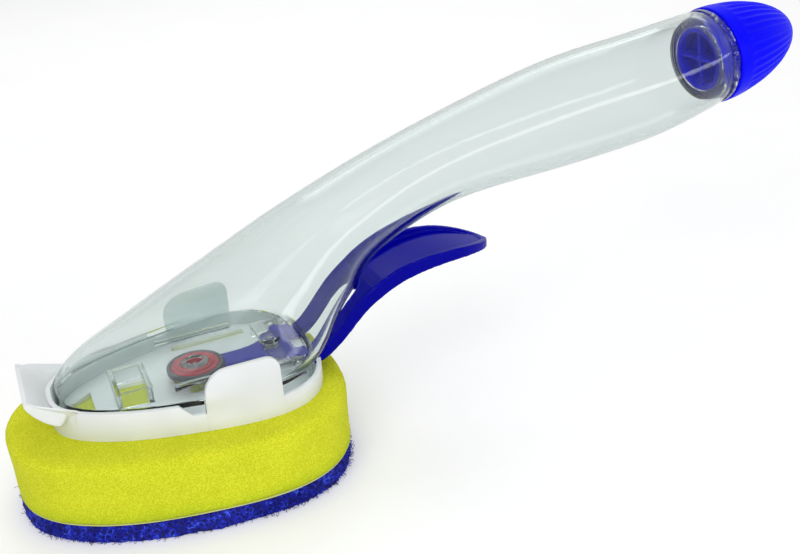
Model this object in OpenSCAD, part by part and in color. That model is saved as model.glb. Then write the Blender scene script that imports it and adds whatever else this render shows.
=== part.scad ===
// Soap dispensing dish wand: a hollow clear handle that flares into an oval head,
// a squeeze lever that opens the soap valve, a screw cap, and a clip-on sponge refill.
// X runs along the wand, front of the head at -X. The scouring face lies on Z = 0.

/* [Refill] */
// Length of the sponge
head_l = 100; // [92:1:110]
// Greatest width of the sponge
head_w = 81; // [74:1:92]
// Thickness of the scouring layer
scour_t = 6.4; // [4:0.2:9]
// Thickness of the bond between foam and scouring layer
bond_t = 0.4; // [0.2:0.1:0.8]
// Thickness of the foam
foam_t = 19.2; // [15:0.2:26]

/* [Refill plate] */
// Length of the plate
plate_l = 80.4; // [78:0.2:84]
// Greatest width of the plate
plate_w = 60.4; // [58:0.2:64]
// Distance from the sponge's centre back to the plate's centre
plate_shift = 3.6; // [2:0.2:5]
// Thickness of the plate's floor
plate_t = 1.6; // [1.2:0.1:1.8]
// Thickness of the rim
rim_t = 1.4; // [1:0.1:1.8]
// Height of the rim, from the plate's underside
rim_h = 9; // [8:0.2:9.8]
// Height of the snap tabs, from the plate's underside
tab_h = 19.5; // [17:0.5:21]
// Width of a snap tab
tab_w = 22; // [18:0.5:24]
// Forward edge of the snap tabs
tab_x = 3.6; // [1:0.2:6]
// Reach of the thumb lip ahead of the plate
lip_reach = 6.4; // [5:0.2:8]
// Height of the thumb lip's corners, from the plate's underside
lip_h = 15; // [13:0.5:17]

/* [Clear body] */
// Wall of the clear body
wall = 1.8; // [1.5:0.1:2.2]
// Gap between the rim and the body's skirt
rim_gap = 0.4; // [0.3:0.05:0.6]
// Height of the body's straight skirt
skirt_h = 7.2; // [7:0.1:8]
// Thickness of the reservoir floor
floor_t = 1.6; // [1.4:0.1:1.8]
// Height of the reservoir floor's underside above the skirt's foot
floor_up = 5; // [4.9:0.1:5.2]
// Diameter of the grip where the cap closes it
grip_d = 32.8; // [31:0.2:35]
// Distance from the sponge's centre to the grip's end
grip_x = 194.5; // [180:0.5:205]
// Rise of the grip's end above the skirt
grip_z = 62.6; // [58:0.2:67]
// Pitch of the grip's end above level
grip_pitch = 8.5; // [4:0.5:11]

/* [Neck and cap] */
// Diameter of the neck's bore
neck_bore = 22; // [20:0.5:23]
// Depth of the neck insert
neck_l = 9; // [8:0.5:12]
// Thickness of the neck insert's flange
neck_flange_t = 1.5; // [1.2:0.1:2]
// Thickness of the cap's gasket
gasket_t = 0.8; // [0.6:0.1:1.2]
// Length of the cap
cap_l = 33.5; // [30:0.5:38]
// Wall of the cap
cap_wall = 1.8; // [1.4:0.1:2.2]
// Number of flutes on the cap
flutes = 32; // [20:2:36]
// Depth of a flute
flute_deep = 0.55; // [0.3:0.05:0.8]
// Wall of the cap's threaded core
core_wall = 1.6; // [1.2:0.1:2]

/* [Valve] */
// Distance from the sponge's centre back to the valve
valve_x = 7; // [5:0.2:9]
// Diameter of the soap outlet
outlet_d = 5.2; // [4.6:0.1:5.6]
// Wall of the outlet's spigot
spigot_wall = 1.6; // [1.2:0.1:1.8]
// Outer diameter of the red seal
seal_d = 14.7; // [13.5:0.1:15.5]
// Height of the red seal
seal_h = 2.8; // [2.6:0.1:2.9]
// Wall of the ring that keeps the seal in place
keeper_wall = 1.2; // [0.9:0.1:1.5]

/* [Trigger] */
// Distance from the skirt's rear end forward to the pivot
pivot_in = 6.5; // [6.3:0.1:6.7]
// Diameter of the pivot pin
pin_d = 2; // [1.8:0.1:2.2]
// Diameter of the lever's barrel
barrel_d = 4.2; // [4:0.1:4.3]
// Length of the lever's barrel
barrel_l = 23; // [22:0.5:24]
// Greatest width of the paddle
paddle_w = 25; // [24:0.5:28]
// Outer width across the two legs
legs_w = 23; // [21:0.5:23]
// Width of each leg
leg_w = 6; // [5:0.5:6.5]
// Thickness of the lever's web
web_t = 2; // [1.8:0.1:2.4]
// Greatest depth of the lever's edge flanges, web included
flange_h = 4.7; // [4.4:0.1:5]
// Wire of the return spring
wire_d = 0.6; // [0.5:0.05:0.65]

/* [Hidden] */

clear = [0.80, 0.86, 0.86, 0.45];
blue = [0.08, 0.10, 0.92];
white = [0.96, 0.96, 0.97];

// Clearances
slip = 0.15;
run_gap = 0.05;
air = 0.3;

// Heights of the stack, from the scouring face up
foam_z = scour_t + bond_t;
plate_z = foam_z + foam_t;
plate_top = plate_z + plate_t;
skirt_z = plate_top + rim_gap;
skirt_top = skirt_z + skirt_h;
floor_z = skirt_z + floor_up;

// Outlines: the sponge and the plate are ovals, fuller towards the rear
sponge_skew = 0.22;
sponge_full = 2.57;
plate_skew = 0.32;
plate_full = 2.7;
skirt_in = rim_t + rim_gap;
oval_pts = 72;

// An oval that is wider behind its centre. Skew moves the widest place back,
// and full is 2 for an ellipse and more for squarer shoulders.
function oval_rise(x, skew, full) = (1 + skew * x) * pow(1 - pow(abs(x), full), 1 / full);
function oval_peak(skew, full) = max([for (x = [-1:0.02:1]) oval_rise(x, skew, full)]);
function sgn_pow(v, p) = sign(v) * pow(abs(v), p);
function oval(l, w, skew, full, k = oval_pts) =
    let (peak = oval_peak(skew, full))
    [for (i = [0:k - 1])
        let (a = 360 * i / k, u = sgn_pow(cos(a), 2 / full), v = sgn_pow(sin(a), 2 / full))
        [l / 2 * u, w / 2 * v * (1 + skew * u) / peak]];

// Moves each point of a closed outline inwards by d, along its own normal
function unit(v) = v / norm(v);
function inset(path, d) =
    let (k = len(path))
    [for (i = [0:k - 1])
        let (t = unit(path[(i + 1) % k] - path[(i + k - 1) % k]))
        path[i] + d * [-t[1], t[0]]];

// Smooth curve through a list of vectors, s from 0 to 1
function at_end(p, i) =
    i < 0 ? 2 * p[0] - p[1] : i >= len(p) ? 2 * p[len(p) - 1] - p[len(p) - 2] : p[i];
function spline(p, s) =
    let (x = s * (len(p) - 1), i = min(floor(x), len(p) - 2), t = x - i,
        a = at_end(p, i - 1), b = p[i], c = p[i + 1], d = at_end(p, i + 2))
    0.5 * (2 * b + (c - a) * t + (2 * a - 5 * b + 4 * c - d) * t * t
        + (3 * b - a - 3 * c + d) * t * t * t);
function curve(p, n) = [for (i = [0:n]) spline(p, i / n)];

// A closed band between the rings of a list that ends where it begins
module ring_loop(rings) {
    m = len(rings);
    k = len(rings[0]);
    polyhedron(points = [for (r = rings) each r],
        faces = [for (i = [0:m - 1]) for (j = [0:k - 1])
            let (a = i * k + j, b = i * k + (j + 1) % k,
                c = (i + 1) % m * k + j, d = (i + 1) % m * k + (j + 1) % k)
            each [[a, d, b], [a, c, d]]],
        convexity = 8);
}

// A column of rings, closed by a flat face at each end
module ring_column(rings) {
    m = len(rings);
    k = len(rings[0]);
    polyhedron(points = [for (r = rings) each r],
        faces = concat([[for (j = [0:k - 1]) j]],
            [for (i = [0:m - 2]) for (j = [0:k - 1])
                let (a = i * k + j, b = i * k + (j + 1) % k)
                each [[a, b + k, b], [a, a + k, b + k]]],
            [[for (j = [k - 1:-1:0]) (m - 1) * k + j]]),
        convexity = 8);
}

// Extrudes a side view drawn in X and Z to a width in Y, centred
module side_extrude(width) {
    rotate([90, 0, 0]) translate([0, 0, -width / 2]) linear_extrude(width) children();
}

// Clear body
// Stations of the loft, front to grip: x and rise of the crown, x and rise of the belly,
// half width, skew and fullness. Rises are above the skirt's top.
skirt_l = plate_l - 2 * skirt_in;
skirt_w = plate_w - 2 * skirt_in;
skirt_front = plate_shift - skirt_l / 2;
skirt_rear = plate_shift + skirt_l / 2;
grip_end = [grip_x, skirt_top + grip_z];
grip_up = [-sin(grip_pitch), cos(grip_pitch)];
grip_r = grip_d / 2;
crown_end = [grip_x, grip_z] + grip_r * grip_up;
belly_end = [grip_x, grip_z] - grip_r * grip_up;
stations = [
    [skirt_front, 0, skirt_rear, 0, skirt_w / 2, plate_skew, plate_full],
    [skirt_front + 1.1, 2, skirt_rear + 2.6, 1.6, skirt_w / 2, 0.34, 2.8],
    [skirt_front + 6.6, 7.2, skirt_rear + 6, 4.6, skirt_w / 2 - 0.2, 0.27, 2.6],
    [skirt_front + 20.4, 14, skirt_rear + 11.8, 10.2, skirt_w / 2 - 3.2, 0.14, 2.3],
    [10.1, 26.5, 60, 15.2, skirt_w / 2 - 7.1, 0.05, 2.1],
    [42, 42.1, 69, 23.3, 16.3, 0, 2],
    [79.7, 56.4, 95.3, 32.9, 14, 0, 2],
    [130.1, 70.3, 136.7, 36.2, 17.2, 0, 2],
    [165, 75.1, 170.6, 39.7, 17.6, 0, 2],
    [crown_end[0], crown_end[1], belly_end[0], belly_end[1], grip_r, 0, 2]];
ring_pts = 40;
loft_rings = 32;

// Rear arch in the skirt, where the lever's legs pass, and the points of a ring
// on each side of the rear that rise to it
arch_w = legs_w + 5;
arch_top = floor_z - air;
arch_pts = 2;

// One section of the loft, drawn in from the outer skin by an inset
function section(st, dip) =
    let (crown = [st[0], st[1]], belly = [st[2], st[3]], down = unit(belly - crown),
        a = crown + dip * down, b = belly - dip * down, half = st[4] - dip,
        peak = oval_peak(st[5], st[6]))
    [for (i = [0:ring_pts - 1])
        let (q = 360 * i / ring_pts, u = sgn_pow(cos(q), 2 / st[6]), v = sgn_pow(sin(q), 2 / st[6]),
            m = (a + b) / 2 + u * (b - a) / 2)
        [m[0], half * v * (1 + st[5] * u) / peak, skirt_top + m[1]]];
function foot_z(i) = min(i, ring_pts - i) <= arch_pts ? arch_top : skirt_z;
function foot_ring(ring) = [for (i = [0:ring_pts - 1]) [ring[i][0], ring[i][1], foot_z(i)]];
function skin(dip) =
    let (loft = [for (i = [0:loft_rings]) section(spline(stations, i / loft_rings), dip)])
    concat([foot_ring(loft[0])], loft);
function backwards(list) = [for (i = [len(list) - 1:-1:0]) list[i]];

module reservoir_shell() {
    color(clear) ring_loop(concat(skin(0), backwards(skin(wall))));
}

// Everything on the grip's end is drawn along Z, from the end of the shell outwards
module on_grip() {
    translate([grip_end[0], 0, grip_end[1]]) rotate([0, 90 - grip_pitch, 0]) children();
}

sleeve_r = grip_r - wall - air;
module neck_insert() {
    color(clear) on_grip() difference() {
        union() {
            translate([0, 0, -neck_l]) cylinder(h = neck_l + neck_flange_t, r = sleeve_r, $fn = 64);
            cylinder(h = neck_flange_t, r = grip_r - slip, $fn = 64);
        }
        translate([0, 0, -neck_l - 1])
            cylinder(h = neck_l + neck_flange_t + 2, d = neck_bore, $fn = 64);
    }
}

// Screw cap
gasket_z = neck_flange_t;
cap_z = gasket_z + gasket_t;
core_r = neck_bore / 2 - run_gap;
core_l = neck_l + neck_flange_t + gasket_t - 1;
core_flange_t = 1.6;
collar_l = 4.6;
cap_base_r = grip_r + 0.1;
rib_t = 1.2;

module cap_gasket() {
    color("gainsboro") on_grip() translate([0, 0, gasket_z]) difference() {
        cylinder(h = gasket_t, r = grip_r - 0.6, $fn = 64);
        translate([0, 0, -1]) cylinder(h = gasket_t + 2, d = neck_bore + 0.6, $fn = 64);
    }
}

module cap_core() {
    color(blue) on_grip() translate([0, 0, cap_z]) difference() {
        union() {
            cylinder(h = core_flange_t, r = cap_base_r - cap_wall - air, $fn = 64);
            translate([0, 0, -core_l]) cylinder(h = core_l + 1, r = core_r, $fn = 64);
        }
        difference() {
            translate([0, 0, -core_l - 1])
                cylinder(h = core_l + 1, r = core_r - core_wall, $fn = 64);
            for (a = [0, 90])
                rotate(a) translate([-core_r, -rib_t / 2, 2 - core_l]) cube([2 * core_r, rib_t, core_l]);
        }
    }
}

// The cap's profile is a dome that narrows from its collar to a round nose
nose_full = 1.75;
function cap_radius(z) = cap_base_r * sqrt(1 - pow(max(0, z - 1) / (cap_l - 1), nose_full));
function flute_fade(z) =
    z < collar_l ? 0 : min(1, (z - collar_l) / 2) * min(1, max(0, (cap_l - z) / 9 - 0.15));
cap_steps = 15;
nose_stop = 0.992;
function cap_level(i) =
    i == 0 ? 0 : i == 1 ? collar_l
        : collar_l + (cap_l * nose_stop - collar_l) * sin(90 * (i - 1) / (cap_steps - 1));
function fluted_ring(z) =
    [for (j = [0:2 * flutes - 1])
        let (r = cap_radius(z) - (j % 2) * flute_deep * flute_fade(z), a = 180 * j / flutes)
        [r * cos(a), r * sin(a), z]];
function plain_ring(z) =
    let (r = cap_radius(z) - cap_wall)
    [for (j = [0:2 * flutes - 1]) let (a = 180 * j / flutes) [r * cos(a), r * sin(a), z]];
inner_stop = 0.9;

module end_cap() {
    outside = [for (i = [0:cap_steps]) fluted_ring(cap_level(i))];
    inside = [for (i = [0:5]) plain_ring(cap_l * inner_stop * sin(18 * i))];
    color(blue) on_grip() translate([0, 0, cap_z]) ring_column(concat(backwards(inside), outside));
}

// Reservoir floor
latch_x = -12.8;
latch_l = 10.6;
latch_w = 17;
latch_wall = 1.4;
screw_in = 11;
screw_x = skirt_rear - screw_in;
boss_d = 6.4;
boss_h = 1.2;
screw_d = 2.2;
spigot_l = 2.4;
floor_rib_l = 24;
floor_rib_ahead = 9;
floor_rib_w = 1.2;
floor_rib_h = 1.5;
floor_rib_y = 15;

module reservoir_floor() {
    spigot_r = outlet_d / 2 + spigot_wall;
    color(clear) difference() {
        union() {
            translate([0, 0, floor_z]) linear_extrude(floor_t)
                polygon([for (p = section(stations[0], wall + slip)) [p[0], p[1]]]);
            translate([valve_x, 0, floor_z - spigot_l]) cylinder(h = spigot_l + 1, r = spigot_r, $fn = 48);
            translate([screw_x, 0, floor_z]) cylinder(h = floor_t + boss_h, d = boss_d, $fn = 32);
            translate([latch_x - latch_l / 2, -latch_w / 2, skirt_z])
                cube([latch_l, latch_w, floor_z - skirt_z + 1]);
            for (side = [-1, 1])
                translate([valve_x - floor_rib_ahead, side * floor_rib_y - floor_rib_w / 2, floor_z])
                    cube([floor_rib_l, floor_rib_w, floor_t + floor_rib_h]);
        }
        translate([valve_x, 0, floor_z - spigot_l - 1])
            cylinder(h = spigot_l + floor_t + 2, d = outlet_d, $fn = 48);
        translate([screw_x, 0, floor_z - 1]) cylinder(h = floor_t + boss_h + 0.4, d = screw_d + 0.1, $fn = 24);
        translate([latch_x - latch_l / 2 + latch_wall, latch_wall - latch_w / 2, skirt_z - 1])
            cube([latch_l - 2 * latch_wall, latch_w - 2 * latch_wall, floor_z - skirt_z + 1]);
    }
}

// Soap valve: a rubber seal on the spigot, held by a keeper and closed from below
seal_z = floor_z - seal_h - 0.05;
seal_r = seal_d / 2;
seal_bore_r = outlet_d / 2 + spigot_wall + run_gap;
lip_r = 0.9;

module valve_seal() {
    color("crimson") translate([valve_x, 0, seal_z]) rotate_extrude($fn = 64) difference() {
        union() {
            translate([seal_bore_r, lip_r]) square([seal_r - seal_bore_r, seal_h - 2 * lip_r]);
            for (z = [lip_r, seal_h - lip_r]) {
                translate([seal_r - lip_r, z]) circle(r = lip_r, $fn = 24);
                translate([seal_bore_r + lip_r, z]) circle(r = lip_r, $fn = 24);
                translate([seal_bore_r + lip_r, 0.3]) square([seal_r - seal_bore_r - 2 * lip_r, seal_h - 0.6]);
            }
        }
        translate([seal_r, seal_h / 2]) circle(r = 0.5, $fn = 24);
    }
}

keeper_h = 1.9;
keeper_r = seal_r + run_gap + keeper_wall;
module seal_keeper() {
    color("slategray") translate([valve_x, 0, seal_z + 0.2]) difference() {
        cylinder(h = keeper_h, r = keeper_r, $fn = 64);
        translate([0, 0, -1]) cylinder(h = keeper_h + 2, r = seal_r + run_gap, $fn = 64);
    }
}

// Lever. Points of its side view are given from the pivot.
pivot_x = skirt_rear - pivot_in;
pivot_z = floor_z - barrel_d / 2 - air;
pad_r = 5.5;
pad_t = 1;
stopper_r = 5;
stopper_t = 0.7;
nipple_r = 1.7;
stem_r = 1.4;
nipple_h = 2.4;
stopper_top = seal_z - slip;
pad_z = stopper_top - stopper_t - pad_t;
arm_w = 7;
arm_t = 1.5;
arm_z = pivot_z - arm_t / 2;

// Underside of the lever from the legs to the tip, from the pivot
underside = [[2.5, -2.1], [6, -2.25], [9.3, -1.7], [13, 0.5], [17.3, 4.2], [24.3, 10.9], [32.2, 15.9],
    [40.6, 19.1], [49, 20.6], [57, 20.9], [65, 20.1], [73.5, 18.4]];
// Depth of the flanges at the same points, as a share of the greatest depth
flange_share = [0.6, 0.6, 0.66, 0.74, 0.84, 0.96, 1, 1, 0.9, 0.78, 0.62, 0.42];
function lift(path, share, d) =
    [for (i = [0:len(path) - 1])
        let (t = unit(path[min(i + 1, len(path) - 1)] - path[max(i - 1, 0)]))
        path[i] + d * share[i] * [-t[1], t[0]]];
lever_steps = 36;
fork_x = 26.5;
tip_x = 73;

module lever_side(depth, share) {
    path = curve(underside, lever_steps);
    side_extrude(2 * paddle_w) polygon(concat(path, backwards(lift(path, curve(share, lever_steps), depth))));
}

// Plan of the paddle and its two legs, x from the pivot
half_legs = legs_w / 2;
half_paddle = paddle_w / 2;
edge_plan = [[2.5, half_legs], [12, half_legs], [24, half_legs + 0.3], [36, half_paddle - 0.4],
    [48, half_paddle], [58, half_paddle - 1], [65.5, half_paddle - 4], [70.5, half_paddle - 8], [tip_x, 0]];
module lever_outline() {
    edge = curve(edge_plan, lever_steps);
    far_side = [for (p = backwards(edge)) [p[0], -p[1]]];
    polygon(concat(edge, [for (i = [1:len(far_side) - 1]) far_side[i]]));
}
module fork_outline() {
    half = half_legs - leg_w;
    polygon(concat([[0, -half], [fork_x - half, -half]],
        [for (a = [-75:15:75]) [fork_x - half + half * cos(a), half * sin(a)]],
        [[fork_x - half, half], [0, half]]));
}
rim_w = 1.7;
plan_low = -20;
plan_h = 60;

module lever_plan() {
    translate([0, 0, plan_low]) linear_extrude(plan_h) difference() {
        lever_outline();
        fork_outline();
    }
}
module lever_edge_plan() {
    translate([0, 0, plan_low]) linear_extrude(plan_h) difference() {
        lever_outline();
        polygon(inset_plan());
    }
}
function inset_plan() =
    let (edge = curve(edge_plan, lever_steps),
        inner = [for (p = edge) if (p[0] > fork_x + 3 && p[1] > rim_w * 2) [p[0] - rim_w * 0.6, p[1] - rim_w]])
    concat([[fork_x + 1, inner[0][1]]], inner, [for (p = backwards(inner)) [p[0], -p[1]]],
        [[fork_x + 1, -inner[0][1]]]);

module trigger_lever() {
    // half width of the arm at distances ahead of the pivot
    flare = [[15.5, arm_w / 2], [10.5, arm_w / 2 + 0.6], [6.5, arm_w / 2 + 2.6], [3.5, arm_w / 2 + 5],
        [1.5, barrel_l / 2 - 0.5]];
    yoke = [for (p = curve(flare, 12)) [pivot_x - p[0], p[1]]];
    yoke_side = concat([[valve_x, arm_w / 2]], yoke, [[pivot_x, barrel_l / 2 - 0.5]]);
    color(blue) difference() {
        union() {
            translate([pivot_x, 0, pivot_z]) {
                intersection() {
                    lever_side(web_t, [for (s = flange_share) 1]);
                    lever_plan();
                }
                intersection() {
                    lever_side(flange_h, flange_share);
                    lever_edge_plan();
                    lever_plan();
                }
                rotate([90, 0, 0]) cylinder(h = barrel_l, d = barrel_d, center = true, $fn = 48);
                for (side = [-1, 1])
                    translate([0, side * (half_legs - leg_w / 2) - leg_w / 2, -barrel_d / 2])
                        cube([5, leg_w, barrel_d - 1]);
            }
            translate([0, 0, arm_z]) linear_extrude(arm_t)
                polygon(concat(yoke_side, [for (p = backwards(yoke_side)) [p[0], -p[1]]]));
            translate([valve_x, 0, pad_z]) cylinder(h = pad_t, r = pad_r, $fn = 64);
            translate([valve_x + 3, -arm_w / 2, pad_z]) cube([keeper_r + 1, arm_w, arm_z + arm_t - pad_z]);
        }
        translate([valve_x, 0, pad_z + pad_t]) cylinder(h = floor_z - pad_z, r = keeper_r + 0.4, $fn = 64);
        translate([valve_x, 0, pad_z - 1]) cylinder(h = pad_t + 2, r = stem_r + run_gap, $fn = 32);
        translate([screw_x, 0, arm_z - 1]) cylinder(h = arm_t + 2, d = head_d + 1.2, $fn = 32);
        translate([pivot_x, 0, pivot_z]) rotate([90, 0, 0])
            cylinder(h = barrel_l + 2, d = pin_d + 2 * run_gap, center = true, $fn = 48);
    }
}

module valve_stopper() {
    color("lightgray") translate([valve_x, 0, stopper_top - stopper_t]) {
        cylinder(h = stopper_t, r = stopper_r, $fn = 48);
        cylinder(h = stopper_t + nipple_h, r = nipple_r, $fn = 32);
        translate([0, 0, -pad_t]) cylinder(h = pad_t + 0.1, r = stem_r, $fn = 32);
    }
}

// Bracket that hangs the lever under the floor, with its pin, screw and spring
ear_t = 1.6;
ear_in = barrel_l / 2 + 2.2;
strip_ahead = 6.7;
strip_x = pivot_x - strip_ahead;
strip_l = 4.2;
strip_t = 1.2;
ear_r = 2.2;
ear_z = pivot_z - ear_r;

module pivot_bracket() {
    top = floor_z - 0.1;
    color(clear) difference() {
        union() {
            translate([strip_x, -ear_in - ear_t, top - strip_t]) cube([strip_l, 2 * (ear_in + ear_t), strip_t]);
            for (side = [-1, 1])
                translate([strip_x, side * (ear_in + ear_t / 2) - ear_t / 2, ear_z])
                    cube([pivot_x + ear_r - strip_x, ear_t, top - ear_z]);
        }
        translate([screw_x, 0, top - strip_t - 1]) cylinder(h = strip_t + 2, d = screw_d + 0.3, $fn = 24);
        translate([pivot_x, 0, pivot_z]) rotate([90, 0, 0])
            cylinder(h = 2 * ear_in + 2 * ear_t + 2, d = pin_d + 2 * run_gap, center = true, $fn = 48);
    }
}

module pivot_pin() {
    color("silver") translate([pivot_x, 0, pivot_z]) rotate([90, 0, 0])
        cylinder(h = 2 * ear_in + 2 * ear_t, d = pin_d, center = true, $fn = 48);
}

screw_head_t = 0.9;
head_d = 3.8;
module bracket_screw() {
    top = floor_z - 0.1 - strip_t;
    color("dimgray") translate([screw_x, 0, top - screw_head_t - 0.02]) difference() {
        union() {
            cylinder(h = screw_head_t, d = head_d, $fn = 32);
            cylinder(h = screw_head_t + strip_t + floor_t + boss_h - 0.8, d = screw_d, $fn = 24);
        }
        for (a = [0, 90])
            rotate(a) translate([-1.3, -0.25, -0.5]) cube([2.6, 0.5, 1]);
    }
}

// Torsion spring on the pin: a turn and a half between two legs that point to the rear
coil_r = pin_d / 2 + 0.3 + wire_d / 2;
coil_turns = 1.5;
coil_y = barrel_l / 2 + 0.35 + wire_d / 2;
coil_pitch = wire_d + 0.08;
coil_steps = 32;
spring_leg = 3;
function coil_point(s) =
    [coil_r * cos(-90 - 360 * coil_turns * s), -coil_y - coil_turns * coil_pitch * s,
        coil_r * sin(-90 - 360 * coil_turns * s)];
spring_path = concat([[spring_leg, -coil_y, -coil_r]], [for (i = [0:coil_steps]) coil_point(i / coil_steps)],
    [[spring_leg, -coil_y - coil_turns * coil_pitch, coil_r]]);
function wire_ring(path, i) =
    let (t = unit(path[min(i + 1, len(path) - 1)] - path[max(i - 1, 0)]), u = unit(cross(t, [0, 1, 0])),
        v = cross(t, u))
    [for (a = [0:45:315]) path[i] + wire_d / 2 * (cos(a) * u + sin(a) * v)];

module trigger_spring() {
    color("silver") translate([pivot_x, 0, pivot_z])
        ring_column([for (i = [0:len(spring_path) - 1]) wire_ring(spring_path, i)]);
}

// Refill: plate, foam, bond and scouring layer
slot_l = 24;
slot_w = 3.2;
slot_y = 21.6;
plate_holes_x = -27;
rear_rim_h = 5.8;
rear_cut = 12;
lip_root_z = plate_z + 3.6;
lip_steps = 14;
lip_levels = 4;
lip_span = 44;
corner_at = 0.57;
lip_corner = 13;
lip_t = 1.2;
lip_sink = 0.9;

// The thumb lip flares out and up from the rim's front, with a straight front edge
function rim_front(q) =
    let (u = sgn_pow(-cos(q * lip_span), 2 / plate_full), v = sgn_pow(-sin(q * lip_span), 2 / plate_full))
    [plate_shift + (plate_l / 2 - lip_sink) * u,
        (plate_w / 2 - lip_sink) * v * (1 + plate_skew * u) / oval_peak(plate_skew, plate_full)];
function lip_foot(q) = max(0, (abs(q) - corner_at) / (1 - corner_at));
function lip_root(q) =
    let (p = rim_front(q), rise = rim_h - (lip_root_z - plate_z))
    [p[0], p[1], lip_root_z + rise * lip_foot(q)];
function lip_edge(q) =
    let (f = lip_foot(q), s = -sign(q), root = rim_front(sign(q)),
        corner = [plate_shift - plate_l / 2 - lip_reach, s * lip_corner, plate_z + lip_h],
        back = [root[0], root[1], plate_z + rim_h])
    f > 0 ? corner + f * (back - corner)
        : [corner[0], -q / corner_at * lip_corner, corner[2]];
function lip_point(q, h, back) =
    let (a = lip_root(q), b = lip_edge(q), out = pow(h, 1.5))
    [a[0] + (b[0] - a[0]) * out + back, a[1] + (b[1] - a[1]) * h, a[2] + (b[2] - a[2]) * h];
function lip_ring(q) =
    concat([for (i = [0:lip_levels]) lip_point(q, i / lip_levels, 0)],
        [for (i = [lip_levels:-1:0]) lip_point(q, i / lip_levels, lip_t)]);

module thumb_lip() {
    ring_column([for (i = [0:lip_steps]) lip_ring(0.9 - 1.8 * i / lip_steps)]);
}

module snap_tab(side) {
    r1 = 7;
    r2 = 4;
    y = plate_w / 2 - rim_t;
    translate([tab_x, side * (y + rim_t / 2) + rim_t / 2, plate_z]) rotate([90, 0, 0])
        linear_extrude(rim_t) polygon(concat([[0, 0], [tab_w, 0]],
            [for (a = [0:15:90]) [tab_w - r2 + r2 * cos(a), tab_h - r2 + r2 * sin(a)]],
            [for (a = [90:15:180]) [r1 + r1 * cos(a), tab_h - r1 + r1 * sin(a)]]));
}

module sponge_plate() {
    outline = oval(plate_l, plate_w, plate_skew, plate_full);
    notch_x = tab_x - 3.6;
    color(white) difference() {
        union() {
            translate([plate_shift, 0, plate_z]) linear_extrude(rim_h) polygon(outline);
            for (side = [-1, 1]) snap_tab(side);
            thumb_lip();
        }
        // the tray
        translate([plate_shift, 0, plate_top]) linear_extrude(tab_h) polygon(inset(outline, rim_t));
        // the rim is lower behind the tabs
        translate([tab_x + tab_w, -plate_w, plate_z + rear_rim_h]) cube([plate_l, 2 * plate_w, tab_h]);
        // room for the lever's legs at the rear
        translate([plate_shift + plate_l / 2 - rear_cut, -arch_w / 2, plate_top])
            cube([2 * rear_cut, arch_w, tab_h]);
        // notches ahead of the tabs
        side_extrude(2 * plate_w)
            polygon([[notch_x, plate_z + 5.6], [tab_x, plate_z + 5.6], [tab_x, plate_z + rim_h + 1],
                [notch_x - 4, plate_z + rim_h + 1], [notch_x - 3.4, plate_z + rim_h]]);
        // windows in the floor: valve, latch, front and the two long slots
        translate([valve_x, 0, plate_z - 1]) cylinder(h = plate_t + 2, r = pad_r + 1.6, $fn = 64);
        translate([valve_x, -arm_w / 2 - 1, plate_z - 1]) cube([14, arm_w + 2, plate_t + 2]);
        translate([latch_x - 4.6, -7, plate_z - 1]) cube([9.2, 14, plate_t + 2]);
        translate([plate_holes_x, 0, plate_z - 1]) linear_extrude(plate_t + 2)
            polygon([[-4, -3], [3, -8], [3, 8], [-4, 3]]);
        for (side = [-1, 1])
            translate([tab_x, side * slot_y - slot_w / 2, plate_z - 1]) cube([slot_l, slot_w, plate_t + 2]);
    }
}

module sponge() {
    color("gold") translate([0, 0, foam_z]) linear_extrude(foam_t)
        polygon(oval(head_l, head_w, sponge_skew, sponge_full));
}

module bond_layer() {
    color("khaki") translate([0, 0, scour_t]) linear_extrude(bond_t)
        polygon(inset(oval(head_l, head_w, sponge_skew, sponge_full), 0.3));
}

module scouring_pad() {
    color("mediumblue") linear_extrude(scour_t)
        polygon(inset(oval(head_l, head_w, sponge_skew, sponge_full), 0.5));
}

reservoir_shell();
neck_insert();
reservoir_floor();
valve_seal();
seal_keeper();
pivot_bracket();
bracket_screw();
pivot_pin();
trigger_spring();
trigger_lever();
valve_stopper();
cap_gasket();
end_cap();
cap_core();
sponge_plate();
sponge();
bond_layer();
scouring_pad();
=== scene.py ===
"""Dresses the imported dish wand: clear body, screw cap, lever, refill plate, sponge and scourer."""

import math
import random

import bmesh
import bpy
from mathutils import Matrix, Vector, noise


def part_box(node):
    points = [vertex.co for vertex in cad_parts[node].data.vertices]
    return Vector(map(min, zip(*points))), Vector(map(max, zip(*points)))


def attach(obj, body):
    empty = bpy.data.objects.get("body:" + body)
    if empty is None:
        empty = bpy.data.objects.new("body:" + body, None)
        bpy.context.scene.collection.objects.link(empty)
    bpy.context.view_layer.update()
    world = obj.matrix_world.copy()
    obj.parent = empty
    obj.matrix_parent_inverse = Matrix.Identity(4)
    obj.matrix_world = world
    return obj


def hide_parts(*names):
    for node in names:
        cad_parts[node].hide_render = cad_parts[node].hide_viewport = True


bl_info = {
    "name": "Dish wand finisher",
    "version": (1, 0, 0),
    "blender": (4, 5, 0),
    "location": "3D View > Sidebar > Dish Wand",
    "description": "Builds the finished pieces of a soap dispensing dish wand on its packed frame",
    "category": "Object",
}

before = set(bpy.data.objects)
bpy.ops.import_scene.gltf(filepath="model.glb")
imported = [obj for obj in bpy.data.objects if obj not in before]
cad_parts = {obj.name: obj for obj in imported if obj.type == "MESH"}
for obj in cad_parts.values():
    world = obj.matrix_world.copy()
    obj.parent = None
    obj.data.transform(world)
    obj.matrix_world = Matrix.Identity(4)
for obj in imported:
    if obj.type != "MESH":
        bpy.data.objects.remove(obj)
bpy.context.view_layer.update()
MM = 0.001
foam_low, foam_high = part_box("sponge")
scour_low, scour_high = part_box("scouring_pad")


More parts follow.
